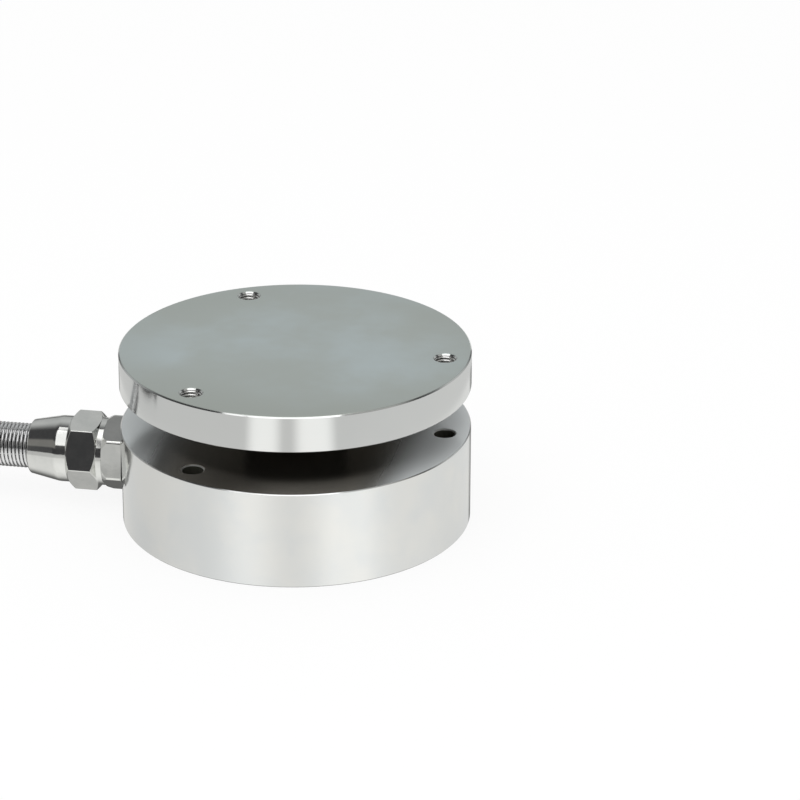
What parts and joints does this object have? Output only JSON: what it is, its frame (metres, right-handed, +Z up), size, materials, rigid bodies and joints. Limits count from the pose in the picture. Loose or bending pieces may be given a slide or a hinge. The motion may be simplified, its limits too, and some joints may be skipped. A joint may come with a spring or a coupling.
{
  "type": "compression load cell",
  "caption": "Round plate-type compression load cell: a load plate on the column of a turned steel sensing body, with a cable gland, guard spring and coiled signal cable.",
  "frame": {"origin": "centre of the mounting hole circle in the plane of the base", "axes": "+Z up along the load axis, towards the load plate; the cable gland points along -X"},
  "size_m": [0.2821, 0.1128, 0.051],
  "materials": {
    "plate_steel": "fine turned stainless steel, satin",
    "body_steel": "fine turned and polished stainless steel",
    "cover_steel": "rolled stainless sheet",
    "nickel_plate": "bright nickel plate on brass",
    "spring_wire": "bright drawn stainless wire",
    "seal_rubber": "black moulded rubber",
    "clamp_plastic": "natural nylon",
    "gauge_film": "amber polyimide film with foil",
    "board_green": "green circuit board",
    "component_black": "black ceramic chip",
    "tinned_copper": "tinned copper",
    "cable_jacket": "black satin cable jacket",
    "core_red": "red insulation",
    "core_black": "black insulation",
    "core_green": "green insulation",
    "core_white": "white insulation",
    "tie_nylon": "black nylon strap"
  },
  "bodies": {
    "root": {"load_plate": "plate_steel", "sensing_body": "body_steel", "base_cover": "cover_steel", "strain_gauge_1": "gauge_film", "strain_gauge_2": "gauge_film", "strain_gauge_3": "gauge_film", "strain_gauge_4": "gauge_film", "gauge_leads": "tinned_copper", "terminal_board": "board_green", "terminal_pins": "tinned_copper", "trim_resistors": "component_black", "core_red": "core_red", "core_black": "core_black", "core_green": "core_green", "core_white": "core_white", "shield_drain": "tinned_copper", "gland_washer": "seal_rubber", "gland_body": "nickel_plate", "gland_seal": "seal_rubber", "clamp_ring": "clamp_plastic", "gland_nut": "nickel_plate", "guard_spring": "spring_wire", "cable_inlet": "cable_jacket", "cable": "cable_jacket", "cable_coil": "cable_jacket", "cable_end": "cable_jacket", "coil_tie_1": "tie_nylon", "coil_tie_2": "tie_nylon", "end_sleeve": "seal_rubber", "lead_red": "core_red", "lead_black": "core_black", "lead_green": "core_green", "lead_white": "core_white", "lead_drain": "tinned_copper", "lead_tips": "tinned_copper"}
  },
  "joints": []
}
